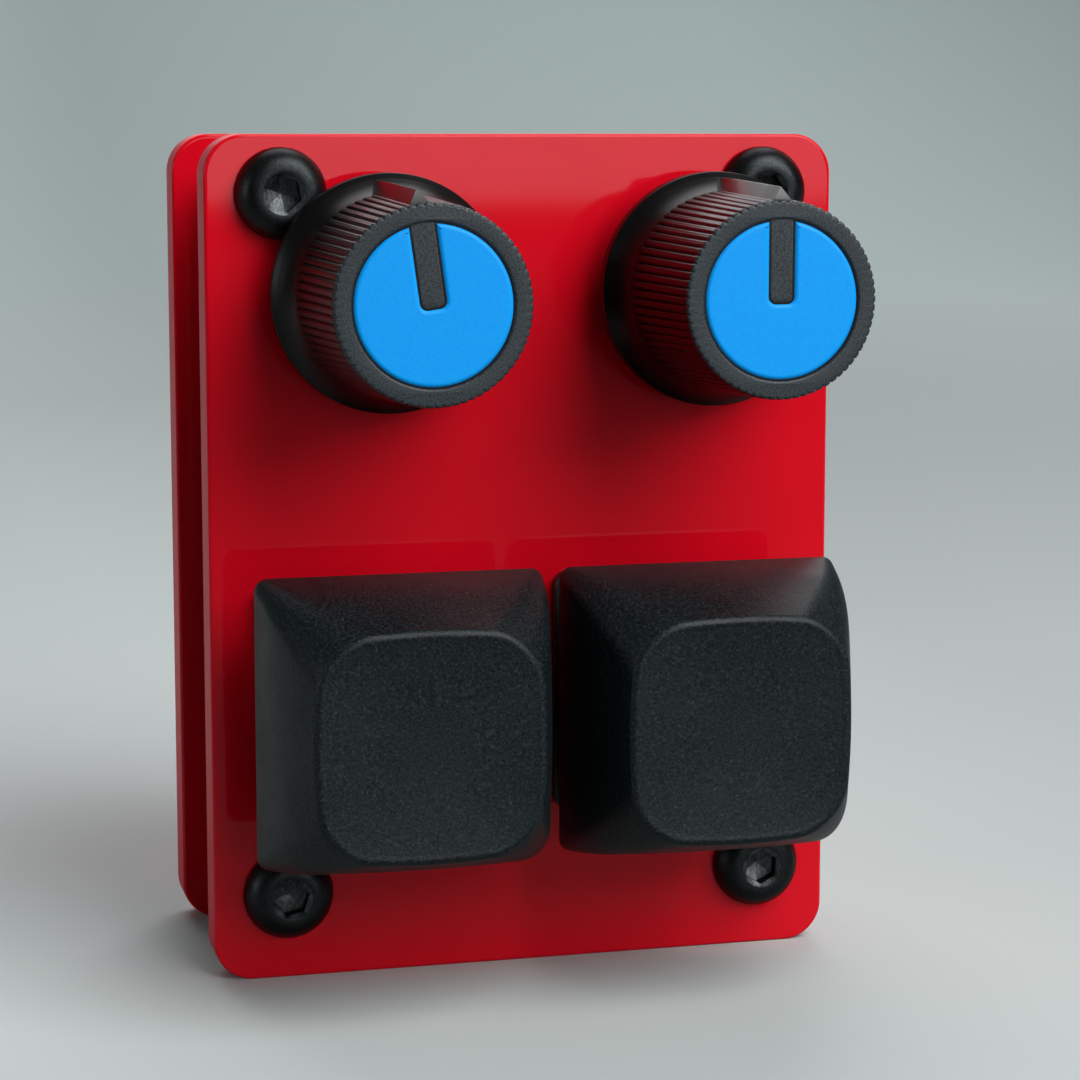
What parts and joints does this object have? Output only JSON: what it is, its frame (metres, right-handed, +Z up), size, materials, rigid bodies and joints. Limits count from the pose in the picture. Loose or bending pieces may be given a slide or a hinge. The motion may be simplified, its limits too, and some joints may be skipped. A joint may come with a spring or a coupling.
{
  "type": "midi controller",
  "caption": "Upright desktop controller: two acrylic panels on standoffs with pointer knobs and sprung keys, potentiometers, switches and boards between them.",
  "frame": {"origin": "middle of the box round the whole controller, at the panels' lower edges", "axes": "+Z up along the panels' height, -Y towards the knobs and keys, +X to the right seen from the front"},
  "size_m": [0.0406, 0.0352, 0.0533],
  "materials": {
    "red_acrylic": "polished cast sheet",
    "black_screw_steel": "black oxide",
    "standoff_aluminium": "turned",
    "knob_abs": "fine moulded texture",
    "insert_blue": "satin",
    "keycap_pbt": "grainy",
    "switch_nylon": "moulded",
    "stem_acetal": "moulded",
    "spring_steel": "bright wire",
    "contact_brass": "stamped",
    "board_laminate": "solder mask",
    "header_nylon": "moulded",
    "can_zinc": "plated",
    "base_phenolic": "moulded",
    "carbon_track": "printed",
    "shaft_aluminium": "turned",
    "socket_steel": "rolled, plated",
    "tongue_plastic": "moulded",
    "chip_epoxy": "moulded",
    "tinned_lead": "tinned",
    "ceramic_passive": "sintered"
  },
  "bodies": {
    "case": {"front_panel": "red_acrylic", "rear_panel": "red_acrylic", "standoffs": "standoff_aluminium", "front_screws": "black_screw_steel", "rear_screws": "black_screw_steel", "switch_board": "board_laminate", "control_board": "board_laminate", "board_header": "header_nylon", "header_pins": "contact_brass", "socket_shell": "socket_steel", "socket_tongue": "tongue_plastic", "chip_body": "chip_epoxy", "chip_leads": "tinned_lead", "crystal": "tinned_lead", "regulator": "chip_epoxy", "chip_passives": "ceramic_passive", "left_pot_cover": "can_zinc", "left_pot_base": "base_phenolic", "left_pot_track": "carbon_track", "left_pot_terminals": "contact_brass", "left_switch_base": "switch_nylon", "left_switch_cover": "switch_nylon", "left_switch_contacts": "contact_brass", "left_switch_spring": "spring_steel", "right_pot_cover": "can_zinc", "right_pot_base": "base_phenolic", "right_pot_track": "carbon_track", "right_pot_terminals": "contact_brass", "right_switch_base": "switch_nylon", "right_switch_cover": "switch_nylon", "right_switch_contacts": "contact_brass", "right_switch_spring": "spring_steel"},
    "left_dial": {"left_knob": "knob_abs", "left_knob_insert": "insert_blue", "left_pot_shaft": "shaft_aluminium", "left_pot_wiper": "contact_brass"},
    "right_dial": {"right_knob": "knob_abs", "right_knob_insert": "insert_blue", "right_pot_shaft": "shaft_aluminium", "right_pot_wiper": "contact_brass"},
    "left_key": {"left_keycap": "keycap_pbt", "left_switch_stem": "stem_acetal"},
    "right_key": {"right_keycap": "keycap_pbt", "right_switch_stem": "stem_acetal"}
  },
  "joints": [
    {"name": "left_dial_turn", "type": "hinge", "parent": "case", "child": "left_dial", "pos_m": [-0.00935, -0.0176, 0.0436], "axis": [0, 1, 0], "range_deg": [-142, 158]},
    {"name": "right_dial_turn", "type": "hinge", "parent": "case", "child": "right_dial", "pos_m": [0.01165, -0.0176, 0.0436], "axis": [0, 1, 0], "range_deg": [-150, 150]},
    {"name": "left_key_press", "type": "slide", "parent": "case", "child": "left_key", "axis": [0, 1, 0], "range_m": [0, 0.004], "stiffness_N_per_m": 130, "springref_m": -0.0023, "deforming": ["left_switch_spring"]},
    {"name": "right_key_press", "type": "slide", "parent": "case", "child": "right_key", "axis": [0, 1, 0], "range_m": [0, 0.004], "stiffness_N_per_m": 130, "springref_m": -0.0023, "deforming": ["right_switch_spring"]}
  ]
}
